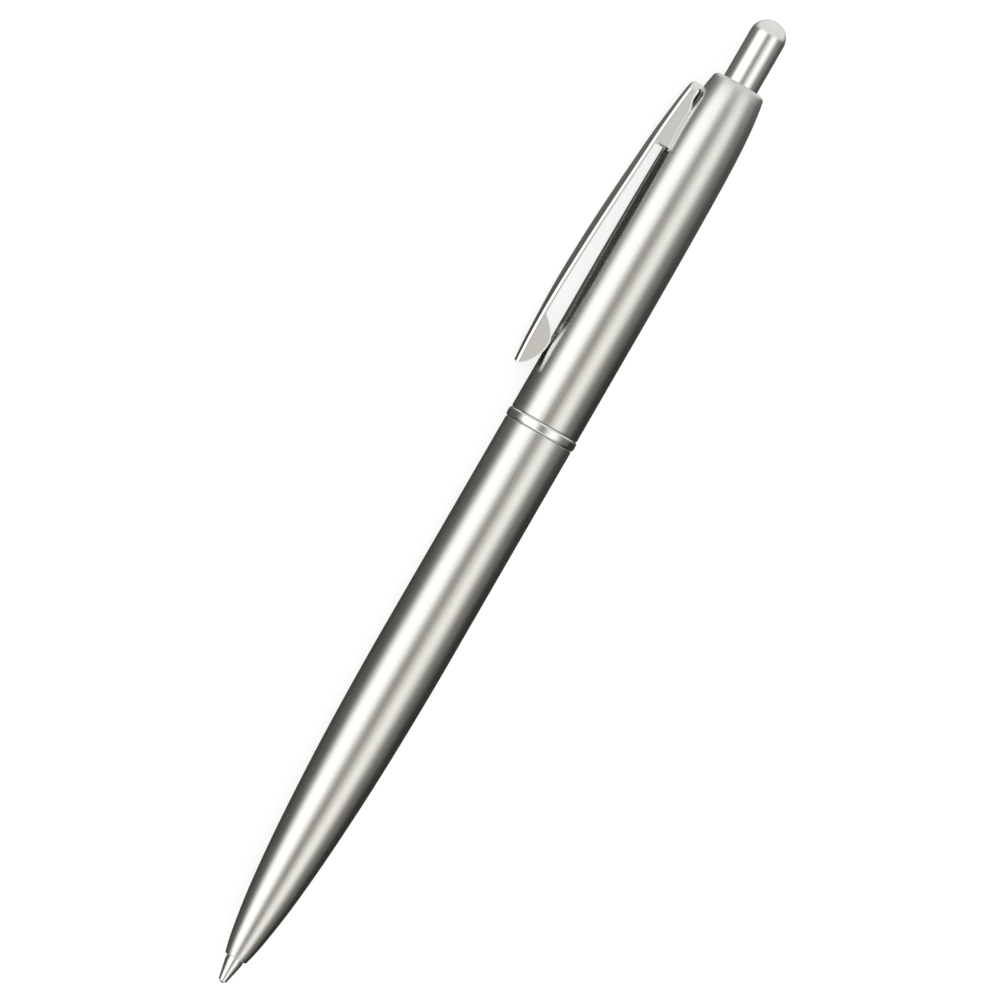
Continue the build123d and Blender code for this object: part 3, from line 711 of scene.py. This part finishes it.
rim_runs = [root_start + (rim_centre - root_start) * step / rim_columns
            for step in range(rim_columns)]
slot_rim = clip_sheet_piece("Clip_slot_rim", [
    *(rim_section(run, 0) for run in rim_runs),
    *(rim_section(rim_centre, pi * step / rim_end_steps) for step in range(rim_end_steps + 1)),
    *([(along, height, -side) for along, height, side in rim_section(run, 0)]
      for run in reversed(rim_runs))])
lip = slot_rim.modifiers.new("Lip", "SOLIDIFY")
lip.thickness = rim_sheet
lip.offset = -1
bpy.ops.object.modifier_apply(modifier=lip.name)
bpy.ops.object.shade_smooth_by_angle(angle=clip_smooth)
dress(slot_rim, brushed_steel)
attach(slot_rim, "upper_body")

# The punch that cuts the slot is a cylinder square to the barrel, stretched along the pen.
slot_place = Vector((clip_tip - slot_centre, 0, 0)) + clip_outward * barrel_radius
bpy.ops.object.select_all(action="DESELECT")
bpy.ops.mesh.primitive_cylinder_add(
    vertices=slot_sides, radius=slot_half, depth=slot_depth, location=slot_place,
    rotation=clip_outward.to_track_quat("Z", "X").to_euler())
punch = bpy.context.object
bpy.ops.object.transform_apply(location=True, rotation=True, scale=True)
bpy.ops.object.mode_set(mode="EDIT")
bpy.ops.mesh.select_all(action="SELECT")
bpy.ops.transform.resize(value=(slot_half_length / slot_half, 1, 1), center_override=slot_place)
bpy.ops.object.mode_set(mode="OBJECT")
opening = upper_barrel.modifiers.new("Slot", "BOOLEAN")
opening.operation = "DIFFERENCE"
opening.solver = "EXACT"
opening.object = punch
bpy.ops.object.select_all(action="DESELECT")
upper_barrel.select_set(True)
bpy.context.view_layer.objects.active = upper_barrel
bpy.ops.object.modifier_apply(modifier=opening.name)
bpy.data.objects.remove(punch)

# Cam housing, its collar and the rotor: the click mechanism, moulded in acetal. The housing is
# pressed into the upper barrel, and all three are hidden in use. The material is natural white,
# slightly waxy, with the fine matt texture of its mould.
mould_grain = 0.12 * mm
mould_depth = 0.004 * mm
natural_acetal, tree = start_material("Moulded_acetal_natural")
grain = add_node(tree, "ShaderNodeTexNoise", {
    "Vector": add_node(tree, "ShaderNodeTexCoord").outputs["Object"],
    "Scale": 1 / mould_grain, "Detail": 2.0})
acetal_roughness = add_node(tree, "ShaderNodeMapRange", {
    "Value": grain.outputs["Fac"], "From Min": 0.3, "From Max": 0.7,
    "To Min": 0.34, "To Max": 0.46})
relief = add_node(tree, "ShaderNodeBump", {
    "Height": grain.outputs["Fac"], "Strength": 0.3, "Distance": mould_depth})
finish_material(tree, add_node(tree, "ShaderNodeBsdfPrincipled", {
    "Base Color": to_linear("ecebe4"), "Roughness": acetal_roughness.outputs[0], "IOR": 1.48,
    "Normal": relief.outputs["Normal"]}))
for name in ("cam_housing", "housing_collar", "rotor"):
    dress(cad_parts[name], natural_acetal)

# Plunger and tail plug: the push rod that the button is pressed on, and the plug that closes the
# refill. Both are black mouldings with the same matt texture, a little glossier where they rub.
black_acetal, tree = start_material("Moulded_acetal_black")
grain = add_node(tree, "ShaderNodeTexNoise", {
    "Vector": add_node(tree, "ShaderNodeTexCoord").outputs["Object"],
    "Scale": 1 / mould_grain, "Detail": 2.0})
acetal_roughness = add_node(tree, "ShaderNodeMapRange", {
    "Value": grain.outputs["Fac"], "From Min": 0.3, "From Max": 0.7,
    "To Min": 0.28, "To Max": 0.42})
relief = add_node(tree, "ShaderNodeBump", {
    "Height": grain.outputs["Fac"], "Strength": 0.3, "Distance": mould_depth})
finish_material(tree, add_node(tree, "ShaderNodeBsdfPrincipled", {
    "Base Color": to_linear("27272a"), "Roughness": acetal_roughness.outputs[0], "IOR": 1.48,
    "Normal": relief.outputs["Normal"]}))
for name in ("plunger", "tail_plug"):
    dress(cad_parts[name], black_acetal)

# Refill tube: a thin tube of drawn steel, rolled in to a neck in front, which holds the ink. Its
# thin nickel plating is faintly warm, and streaked along its length by the drawing.
streak_width = 0.2 * mm
nickel_plate, tree = start_material("Nickel_plated_steel")
streaks = add_node(tree, "ShaderNodeTexNoise", {
    "Vector": add_node(tree, "ShaderNodeMapping", {
        "Vector": add_node(tree, "ShaderNodeTexCoord").outputs["Object"],
        "Scale": (1 / groove_length, 1 / streak_width, 1 / streak_width)}).outputs[0],
    "Scale": 1.0, "Detail": 3.0})
plate_roughness = add_node(tree, "ShaderNodeMapRange", {
    "Value": streaks.outputs["Fac"], "From Min": 0.3, "From Max": 0.7,
    "To Min": 0.22, "To Max": 0.34})
relief = add_node(tree, "ShaderNodeBump", {
    "Height": streaks.outputs["Fac"], "Strength": 0.4, "Distance": groove_depth})
finish_material(tree, add_node(tree, "ShaderNodeBsdfPrincipled", {
    "Base Color": to_linear("cfcac0"), "Metallic": 1.0, "Roughness": plate_roughness.outputs[0],
    "Normal": relief.outputs["Normal"]}))
dress(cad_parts["refill_tube"], nickel_plate)

# Return spring: a compression spring of bright drawn steel wire, held between the bush in the
# nose and the refill. The wire has fine lines from the die and a trace of oil.
die_line = 0.03 * mm
spring_wire, tree = start_material("Drawn_spring_wire")
die_lines = add_node(tree, "ShaderNodeTexNoise", {
    "Vector": add_node(tree, "ShaderNodeTexCoord").outputs["Object"],
    "Scale": 1 / die_line, "Detail": 2.0})
wire_roughness = add_node(tree, "ShaderNodeMapRange", {
    "Value": die_lines.outputs["Fac"], "From Min": 0.3, "From Max": 0.7,
    "To Min": 0.16, "To Max": 0.3})
finish_material(tree, add_node(tree, "ShaderNodeBsdfPrincipled", {
    "Base Color": to_linear("c3c3c4"), "Metallic": 1.0, "Roughness": wire_roughness.outputs[0]}))
dress(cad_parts["return_spring"], spring_wire)

# Ink and its follower: thick blue-black paste, and behind it a plug of clear grease that keeps
# it from drying. Both are sealed in the refill.
ink_swirl = 0.8 * mm
ink_paste, tree = start_material("Ballpoint_ink_paste")
swirls = add_node(tree, "ShaderNodeTexNoise", {
    "Vector": add_node(tree, "ShaderNodeTexCoord").outputs["Object"],
    "Scale": 1 / ink_swirl, "Detail": 3.0})
ink_colour = add_node(tree, "ShaderNodeValToRGB", {"Fac": swirls.outputs["Fac"]})
ink_colour.color_ramp.elements[0].color = to_linear("10131f")
ink_colour.color_ramp.elements[1].color = to_linear("1d2344")
finish_material(tree, add_node(tree, "ShaderNodeBsdfPrincipled", {
    "Base Color": ink_colour.outputs["Color"], "Roughness": 0.12, "IOR": 1.5}))
dress(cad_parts["ink_column"], ink_paste)
clear_grease, tree = start_material("Clear_silicone_grease")
swirls = add_node(tree, "ShaderNodeTexNoise", {
    "Vector": add_node(tree, "ShaderNodeTexCoord").outputs["Object"],
    "Scale": 1 / ink_swirl, "Detail": 3.0})
grease_colour = add_node(tree, "ShaderNodeValToRGB", {"Fac": swirls.outputs["Fac"]})
grease_colour.color_ramp.elements[0].color = to_linear("cfc9b4")
grease_colour.color_ramp.elements[1].color = to_linear("e3dfcf")
finish_material(tree, add_node(tree, "ShaderNodeBsdfPrincipled", {
    "Base Color": grease_colour.outputs["Color"], "Roughness": 0.18, "IOR": 1.42,
    "Subsurface Weight": 0.3, "Subsurface Scale": 0.5 * mm}))
dress(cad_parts["ink_follower"], clear_grease)

# Table: a wide sheet of white card. To the camera it glows nearly up to the white of the
# background, and the lamps do the rest, so that the pen's soft shadow stays on it. The steel
# doesn't mirror it, see the light tent below.
table_size = 6.0
table_glow = 0.79
bpy.ops.object.select_all(action="DESELECT")
bpy.ops.mesh.primitive_plane_add(size=table_size, location=(0, 0, cad_box[0][2]))
table_top = bpy.context.object
table_top.name = "Table"
table_top.visible_glossy = False
white_card, tree = start_material("White_card")
card_face = add_node(tree, "ShaderNodeBsdfDiffuse", {"Color": to_linear("f0f0ee")})
card_shade = add_node(tree, "ShaderNodeBsdfDiffuse", {"Color": to_linear("939392")})
card_glow = add_node(tree, "ShaderNodeEmission", {"Color": (1, 1, 1, 1), "Strength": table_glow})
card_seen = add_node(tree, "ShaderNodeAddShader", {
    0: card_shade.outputs[0], 1: card_glow.outputs[0]})
finish_material(tree, add_node(tree, "ShaderNodeMixShader", {
    0: add_node(tree, "ShaderNodeLightPath").outputs["Is Camera Ray"],
    1: card_face.outputs[0], 2: card_seen.outputs[0]}))
dress(table_top, white_card)

# Light tent: a long white tunnel round the table, lit through its wall, with black flags low on
# both sides and a narrow one overhead. Lamps and flags are short, and past their ends the steel
# mirrors the plain cloth. Only the steel sees the tent, in its reflections.
tent_radius = 0.6
tent_length = 8.0
tent_light = 1.75
# Degrees round the pen, 0 at the clip's side and 90 overhead, and how bright the cloth is there.
tent_rows = ((-180, 0.04), (-156, 0.04), (-120, 0.08), (-102, 0.1), (-88, 0.06), (-57, 0.12),
             (-42, 0.13), (-29, 0.18), (-17, 0.48), (-5, 1.3), (6, 1.75), (20, 1.66), (34, 1.66),
             (44, 1.1), (54, 0.53), (63, 0.34), (72, 0.51), (82, 0.9), (91, 1.21), (101, 1.36),
             (111, 1.24), (121, 0.8), (132, 0.36), (144, 0.21), (157, 0.17), (172, 0.05),
             (180, 0.04))
# Place along the pen in metres, and how far the wall has turned to plain cloth there.
tent_ends = ((-0.46, 1), (-0.34, 0.6), (-0.25, 0.14), (-0.07, 0.04), (-0.035, 0), (0.6, 0),
             (0.9, 1))
tent_reach = 1.0
cloth_level = 0.9
# The darker the cloth, the nearer to this warm tint.
dark_tint = to_linear("fffaf0")
tent_sides = 96
bpy.ops.object.select_all(action="DESELECT")
bpy.ops.mesh.primitive_cylinder_add(vertices=tent_sides, radius=tent_radius, depth=tent_length,
                                    end_fill_type="NOTHING", rotation=(0, pi / 2, 0))
tent = bpy.context.object
tent.name = "Light_tent"
bpy.ops.object.transform_apply(location=True, rotation=True, scale=True)
tent.visible_camera = False
tent.visible_diffuse = False
tent.visible_shadow = False
tent.visible_transmission = False
tent_cloth, tree = start_material("Tent_cloth")
around = add_node(tree, "ShaderNodeSeparateXYZ", {
    0: add_node(tree, "ShaderNodeTexCoord").outputs["Object"]})
towards = add_node(tree, "ShaderNodeMath", {0: around.outputs["Y"], 1: -1.0}, operation="MULTIPLY")
angle = add_node(tree, "ShaderNodeMath", {0: around.outputs["Z"], 1: towards.outputs[0]},
                 operation="ARCTAN2")
turn = add_node(tree, "ShaderNodeMapRange", {
    "Value": angle.outputs[0], "From Min": -pi, "From Max": pi, "To Min": 0.0, "To Max": 1.0})
wall = add_node(tree, "ShaderNodeValToRGB", {"Fac": turn.outputs[0]})
stops = wall.color_ramp.elements
for index, (degrees, brightness) in enumerate(tent_rows):
    position = (degrees + 180) / 360
    stop = stops[index] if index < 2 else stops.new(position)
    stop.position = position
    share = brightness / tent_light
    warmth = 1 - share
    stop.color = (*(share * (1 - warmth * (1 - part)) for part in dark_tint[:3]), 1)
lengthwise = add_node(tree, "ShaderNodeMapRange", {
    "Value": around.outputs["X"], "From Min": -tent_reach, "From Max": tent_reach,
    "To Min": 0.0, "To Max": 1.0})
plain = add_node(tree, "ShaderNodeValToRGB", {"Fac": lengthwise.outputs[0]})
stops = plain.color_ramp.elements
for index, (place, share) in enumerate(tent_ends):
    position = (place / tent_reach + 1) / 2
    stop = stops[index] if index < 2 else stops.new(position)
    stop.position = position
    stop.color = (share, share, share, 1)
cloth = (*(cloth_level / tent_light,) * 3, 1)
# Sockets 0, 6 and 7 of a colour mix are its share and its two colours, and output 2 is the mix.
tent_wall = add_node(tree, "ShaderNodeMix", {
    0: plain.outputs["Color"], 6: wall.outputs["Color"], 7: cloth}, data_type="RGBA")
finish_material(tree, add_node(tree, "ShaderNodeEmission", {
    "Color": tent_wall.outputs[2], "Strength": tent_light}))
dress(tent, tent_cloth)

# Room light: the background is white to the camera and to metal and glass that look past the
# tent, and a plain grey-white level lights the table and the plastics.
room_level = 0.72
world = bpy.data.worlds.new("White_room")
scene.world = world
world.use_nodes = True
tree = world.node_tree
tree.nodes.clear()
path = add_node(tree, "ShaderNodeLightPath")
seen = add_node(tree, "ShaderNodeMath", {
    0: path.outputs["Is Camera Ray"], 1: path.outputs["Is Glossy Ray"]}, operation="MAXIMUM")
seen = add_node(tree, "ShaderNodeMath", {
    0: seen.outputs[0], 1: path.outputs["Is Transmission Ray"]}, operation="MAXIMUM")
level = add_node(tree, "ShaderNodeMapRange", {
    "Value": seen.outputs[0], "From Min": 0.0, "From Max": 1.0, "To Min": room_level,
    "To Max": 1.0})
add_node(tree, "ShaderNodeOutputWorld", {
    "Surface": add_node(tree, "ShaderNodeBackground", {
        "Color": (1, 1, 1, 1), "Strength": level.outputs[0]}).outputs[0]})

# Soft lamp: a large diffuser above the clip's side, towards the button, which gives the pen its
# soft shadow on the table.
lamp_place = Vector((-0.25, -0.7, 1.3))
bpy.ops.object.select_all(action="DESELECT")
bpy.ops.object.light_add(type="AREA", location=lamp_place)
lamp = bpy.context.object
lamp.name = "Soft_lamp"
lamp.data.shape = "SQUARE"
lamp.data.size = 0.9
lamp.data.energy = 6.0
lamp.rotation_euler = (-lamp_place).to_track_quat("-Z", "Y").to_euler()
lamp.visible_glossy = False

# Camera: a long lens looking down on the pen from the clip's side, rolled so that the nose
# points down to the left, as in the photograph.
view_height = radians(60.1)
frame_width = 127 * mm
aim_place = -5.70 * mm
aim_shift = 0.023 * mm
lens = 200
sensor = 36
roll = radians(30.03)
roll_along = cos(roll)
roll_across = sin(roll)
target = Vector((aim_place, 0, 0))
backwards = Vector((0, -cos(view_height), sin(view_height)))
along = Vector((-1, 0, 0))
across = Vector((0, sin(view_height), cos(view_height)))
target -= across * aim_shift
right = along * roll_across + across * roll_along
up = along * roll_along - across * roll_across
distance = frame_width * lens / sensor
camera_data = bpy.data.cameras.new("Camera")
camera_data.lens = lens
camera_data.sensor_width = sensor
camera_data.clip_start = 0.01
camera = bpy.data.objects.new("Camera", camera_data)
scene.collection.objects.link(camera)
camera.matrix_world = (Matrix.Translation(target + backwards * distance)
                       @ Matrix((right, up, backwards)).transposed().to_4x4())
scene.camera = camera
